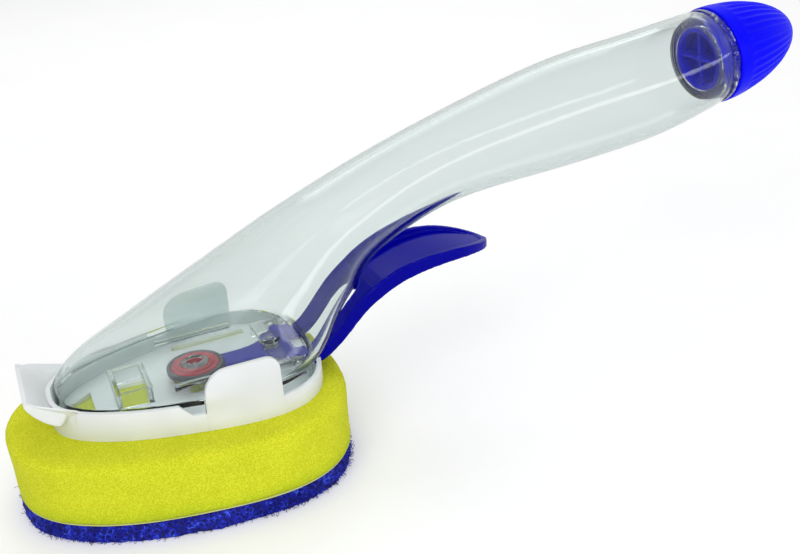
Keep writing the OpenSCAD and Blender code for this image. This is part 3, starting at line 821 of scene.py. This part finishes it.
class WAND_OT_scourer(bpy.types.Operator):
    """Builds the scouring layer and the loose fibres on its cut edge"""

    bl_idname = "wand.scourer"
    bl_label = "Scouring layer"

    def execute(self, context):
        settings = context.scene.wand_refill
        material = scourer_material("blue_scourer", settings.scour_colour)
        mesh = oval_block(
            "scour_web", scour_low, scour_high, 0.0008, 0.0007, 0.0006, 620, 5, 0.001)
        web = add_piece("scour_web", mesh, "refill", "blue_scourer", material, "scouring_pad")
        fibres = add_piece(
            "scour_fibres", self.fibres(settings.fibres), "refill", "blue_scourer", material)
        bond = moulded_plastic("bond_film", (0.62, 0.66, 0.2), 0.7, 0.5)
        mesh = oval_block("bond_sheet", *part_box("bond_layer"), 0.00012, 0, 0, 0, 0, 0)
        sheet = add_piece("bond_sheet", mesh, "refill", "bond_film", bond, "bond_layer")
        return {"FINISHED"}

    @staticmethod
    def fibres(count):
        """Short bent strands that stick out of the cut edge."""
        random.seed(7)
        strands = bpy.data.curves.new("scour_fibres", "CURVE")
        strands.dimensions = "3D"
        strands.bevel_depth = 0.00008
        strands.bevel_resolution = 0
        strands.use_fill_caps = True
        for _ in range(count):
            turn = random.random() * math.tau
            edge = oval_point(scour_low, scour_high, turn)
            out = Vector((math.cos(turn), math.sin(turn), 0))
            height = scour_low.z + 0.0002 + (scour_high.z - scour_low.z - 0.0004) * random.random()
            start = Vector((edge.x, edge.y, height)) - out * (0.0006 + 0.0012 * random.random())
            lean = Vector((random.gauss(0, 1), random.gauss(0, 1), random.gauss(-0.1, 0.9)))
            middle = start + out * 0.0009 * random.random() + lean * 0.0006
            end = middle + (out * random.uniform(-0.2, 1) + lean.cross(out)) * 0.0005
            strand = strands.splines.new("POLY")
            strand.points.add(2)
            for item, point in zip(strand.points, (start, middle, end)):
                point.z = min(max(point.z, scour_low.z + 0.0001), scour_high.z)
                item.co = (*point, 1)
                item.radius = 0.6 + 0.6 * random.random()
        return baked(work_object("scour_fibres_work", strands))


def oval_point(low, high, turn, skew=0.22, full=2.57):
    """A point on the oval outline that fills a box, wider behind its centre."""
    u = signed_power(math.cos(turn), 2 / full)
    v = signed_power(math.sin(turn), 2 / full)
    centre, half = (low + high) / 2, (high - low) / 2
    return Vector((centre.x + half.x * u, centre.y + half.y * v * (1 + skew * u) / oval_peak(skew, full), 0))


def oval_block(name, low, high, edge, voxel, rough, scale, seed, spread):
    """A block on the oval outline: extruded, bevelled, remeshed and roughened by noise."""
    bm = bmesh.new()
    count = 160
    made = bmesh.ops.create_circle(bm, segments=count, radius=1, cap_ends=True)
    for i, vert in enumerate(made["verts"]):
        vert.co = oval_point(low, high, math.tau * i / count)
        vert.co.z = low.z
    faces = list({face for vert in made["verts"] for face in vert.link_faces})
    grown = bmesh.ops.extrude_face_region(bm, geom=faces)
    raised = [item for item in grown["geom"] if isinstance(item, bmesh.types.BMVert)]
    bmesh.ops.translate(bm, vec=(0, 0, high.z - low.z), verts=raised)
    bmesh.ops.recalc_face_normals(bm, faces=bm.faces)
    top = [e for e in bm.edges if all(v.co.z > high.z - 1e-6 for v in e.verts) and e.calc_face_angle(0) > 1]
    bottom = [e for e in bm.edges if all(v.co.z < low.z + 1e-6 for v in e.verts) and e.calc_face_angle(0) > 1]
    bmesh.ops.bevel(
        bm, geom=top, offset=edge, offset_type="OFFSET", affect="EDGES", segments=4, profile=0.5, material=-1)
    bmesh.ops.bevel(
        bm, geom=bottom, offset=min(edge, 0.0006), offset_type="OFFSET", affect="EDGES", segments=2, profile=0.5,
        material=-1)
    if not voxel:
        return mesh_from(bm, name, 1)
    work = work_object(name + "_work", mesh_from(bm, name + "_work", 1))
    remesh = work.modifiers.new("skin", "REMESH")
    remesh.mode = "VOXEL"
    remesh.voxel_size = voxel
    mesh = baked(work)
    shift = Vector((seed, seed * 2.3, seed * 0.7))
    normals = [vert.normal.copy() for vert in mesh.vertices]
    for vert, normal in zip(mesh.vertices, normals):
        coarse = noise.noise(vert.co * scale * 0.25 + shift)
        fine = noise.noise(vert.co * scale * 1.7 + shift)
        step = normal * rough * (0.5 * coarse + fine)
        step.z *= 0.4
        side = Vector((normal.x, normal.y, 0)) * spread * noise.noise(vert.co * 60 + shift)
        vert.co += step + side
        vert.co.z = min(max(vert.co.z, low.z), high.z)
    return mesh


class WAND_OT_small_parts(bpy.types.Operator):
    """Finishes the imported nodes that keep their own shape"""

    bl_idname = "wand.small_parts"
    bl_label = "Floor, bracket and pins"

    def execute(self, context):
        tint = context.scene.wand_shell.tint
        floor_clear = clear_plastic("floor_clear", tint, 0.03, 45)
        finishes = {
            "pivot_bracket": clear_plastic("bracket_clear", tint, 0.05, 45),
            "bracket_screw": steel("screw_steel", (0.2, 0.21, 0.23), 0.3),
            "pivot_pin": steel("pin_steel", (0.62, 0.63, 0.65), 0.2),
            "trigger_spring": steel("spring_steel", (0.55, 0.56, 0.58), 0.25),
            "valve_stopper": rubber("grey_rubber", (0.5, 0.52, 0.55)),
        }
        for node, material in finishes.items():
            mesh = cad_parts[node].data
            mesh.materials.clear()
            mesh.materials.append(material)
        mesh = mesh_from(merged_copy("reservoir_floor", flat=True), "floor_moulding", 1)
        piece = add_piece("floor_moulding", mesh, "wand", "floor_clear", floor_clear, "reservoir_floor")
        for face in piece.data.polygons:
            face.use_smooth = False
        edge = piece.modifiers.new("edge", "BEVEL")
        edge.width = 0.0002
        edge.segments = 2
        edge.limit_method = "ANGLE"
        edge.angle_limit = math.radians(50)
        return {"FINISHED"}


class WAND_OT_stage(bpy.types.Operator):
    """Builds the floor, the lamps and the camera"""

    bl_idname = "wand.stage"
    bl_label = "Stage"

    def execute(self, context):
        settings = context.scene.wand_stage
        self.add_floor()
        self.add_sky(context.scene, settings.sky)
        self.add_lamp("key_lamp", (-0.55, -0.75, 0.85), (0.03, 0, 0.04), (0.8, 0.8), settings.key_power * 3.6)
        self.add_lamp("streak_lamp", (0.35, -0.95, 0.28), (0.09, 0, 0.07), (1.1, 0.12), settings.key_power * 2.3)
        self.add_lamp("back_lamp", (0.3, 0.8, 0.9), (0.08, 0, 0.06), (0.9, 0.5), settings.key_power * 2)
        self.add_camera(context.scene, settings.lens)
        view = context.scene.view_settings
        view.view_transform = "Standard"
        return {"FINISHED"}

    @staticmethod
    def add_floor():
        bm = bmesh.new()
        bmesh.ops.create_grid(bm, x_segments=8, y_segments=8, size=3.0)
        floor = bpy.data.objects.new("stage_floor", mesh_from(bm, "stage_floor", 1))
        bpy.context.scene.collection.objects.link(floor)
        material, nodes, links, shader, place = new_shader("stage_white")
        shader.inputs["Roughness"].default_value = 0.8
        shader.inputs["Specular IOR Level"].default_value = 0.1
        paper = noise_node(nodes, links, place, 14, 2)
        links.new(
            colour_ramp(nodes, links, paper, [(0.3, (0.86, 0.86, 0.86)), (0.7, (0.88, 0.88, 0.88))]),
            shader.inputs["Base Color"])
        glow = nodes.new("ShaderNodeEmission")
        level = nodes.new("ShaderNodeMath")
        level.operation = "MULTIPLY"
        level.inputs[1].default_value = 0.19
        links.new(backdrop_rays(nodes, links), level.inputs[0])
        links.new(level.outputs["Value"], glow.inputs["Strength"])
        total = nodes.new("ShaderNodeAddShader")
        links.new(shader.outputs["BSDF"], total.inputs[0])
        links.new(glow.outputs["Emission"], total.inputs[1])
        links.new(total.outputs["Shader"], nodes["Material Output"].inputs["Surface"])
        floor.data.materials.append(material)

    @staticmethod
    def add_sky(scene, strength):
        world = bpy.data.worlds.new("studio_sky")
        world.use_nodes = True
        scene.world = world
        nodes, links = world.node_tree.nodes, world.node_tree.links
        light = nodes["Background"]
        sky = nodes.new("ShaderNodeTexCoord")
        split = nodes.new("ShaderNodeSeparateXYZ")
        links.new(sky.outputs["Generated"], split.inputs["Vector"])
        shade = colour_ramp(
            nodes, links, split.outputs["Z"], [(0.0, (0.42, 0.43, 0.45)), (0.35, (0.62, 0.63, 0.64)), (0.9, (1, 1, 1))])
        links.new(shade, light.inputs["Color"])
        light.inputs["Strength"].default_value = strength
        seen = nodes.new("ShaderNodeBackground")
        seen.inputs["Color"].default_value = (1, 1, 1, 1)
        seen.inputs["Strength"].default_value = 1.0
        mix = nodes.new("ShaderNodeMixShader")
        links.new(backdrop_rays(nodes, links), mix.inputs[0])
        links.new(light.outputs["Background"], mix.inputs[1])
        links.new(seen.outputs["Background"], mix.inputs[2])
        links.new(mix.outputs["Shader"], nodes["World Output"].inputs["Surface"])

    @staticmethod
    def add_lamp(name, place, aim, size, power):
        light = bpy.data.lights.new(name, "AREA")
        light.shape = "RECTANGLE"
        light.size, light.size_y = size
        light.energy = power
        lamp = bpy.data.objects.new(name, light)
        lamp.location = place
        lamp.rotation_euler = (Vector(aim) - Vector(place)).to_track_quat("-Z", "Y").to_euler()
        bpy.context.scene.collection.objects.link(lamp)

    @staticmethod
    def add_camera(scene, lens):
        data = bpy.data.cameras.new("view")
        data.lens = lens
        data.sensor_width = 36.0
        data.clip_start, data.clip_end = 0.01, 20
        camera = bpy.data.objects.new("view", data)
        scene.collection.objects.link(camera)
        turn, tilt, roll = math.radians(22.442), math.radians(25.361), math.radians(-4.115)
        ahead = Vector((math.sin(turn) * math.cos(tilt), math.cos(turn) * math.cos(tilt), -math.sin(tilt)))
        right = Vector((math.cos(turn), -math.sin(turn), 0))
        up = right.cross(ahead)
        side = right * math.cos(roll) + up * math.sin(roll)
        top = up * math.cos(roll) - right * math.sin(roll)
        axes = Matrix((side, top, -ahead)).transposed().to_4x4()
        camera.matrix_world = Matrix.Translation((-0.035225, -0.270594, 0.183342)) @ axes
        scene.camera = camera


class WAND_PT_panel(bpy.types.Panel):
    """Lists the pieces and their settings"""

    bl_idname = "WAND_PT_panel"
    bl_label = "Dish Wand"
    bl_space_type = "VIEW_3D"
    bl_region_type = "UI"
    bl_category = "Dish Wand"

    def draw(self, context):
        layout = self.layout
        for group, names in SETTINGS_SHOWN.items():
            box = layout.box()
            for name in names:
                box.prop(getattr(context.scene, group), name)
        for operator in OPERATORS:
            layout.operator(operator.bl_idname)


SETTINGS_SHOWN = {
    "wand_shell": ("wall", "tint", "ring_points"),
    "wand_cap": ("flutes", "flute_depth", "colour"),
    "wand_lever": ("softness", "colour"),
    "wand_refill": ("edge_round", "foam_colour", "scour_colour", "fibres"),
    "wand_stage": ("lens", "key_power", "sky"),
}
GROUPS = {
    "wand_shell": WandShellSettings,
    "wand_cap": WandCapSettings,
    "wand_lever": WandLeverSettings,
    "wand_refill": WandRefillSettings,
    "wand_stage": WandStageSettings,
}
OPERATORS = (
    WAND_OT_clear_body,
    WAND_OT_cap,
    WAND_OT_neck,
    WAND_OT_valve,
    WAND_OT_lever,
    WAND_OT_plate,
    WAND_OT_foam,
    WAND_OT_scourer,
    WAND_OT_small_parts,
    WAND_OT_stage,
)


def register():
    for name, group in GROUPS.items():
        bpy.utils.register_class(group)
        setattr(bpy.types.Scene, name, bpy.props.PointerProperty(type=group))
    for operator in OPERATORS:
        bpy.utils.register_class(operator)
    bpy.utils.register_class(WAND_PT_panel)


def unregister():
    bpy.utils.unregister_class(WAND_PT_panel)
    for operator in reversed(OPERATORS):
        bpy.utils.unregister_class(operator)
    for name, group in reversed(GROUPS.items()):
        delattr(bpy.types.Scene, name)
        bpy.utils.unregister_class(group)


def main():
    """Registers the add-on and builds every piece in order."""
    register()
    bpy.ops.wand.clear_body()
    bpy.ops.wand.cap()
    bpy.ops.wand.neck()
    bpy.ops.wand.valve()
    bpy.ops.wand.lever()
    bpy.ops.wand.plate()
    bpy.ops.wand.foam()
    bpy.ops.wand.scourer()
    bpy.ops.wand.small_parts()
    bpy.ops.wand.stage()


if __name__ == "__main__":
    main()
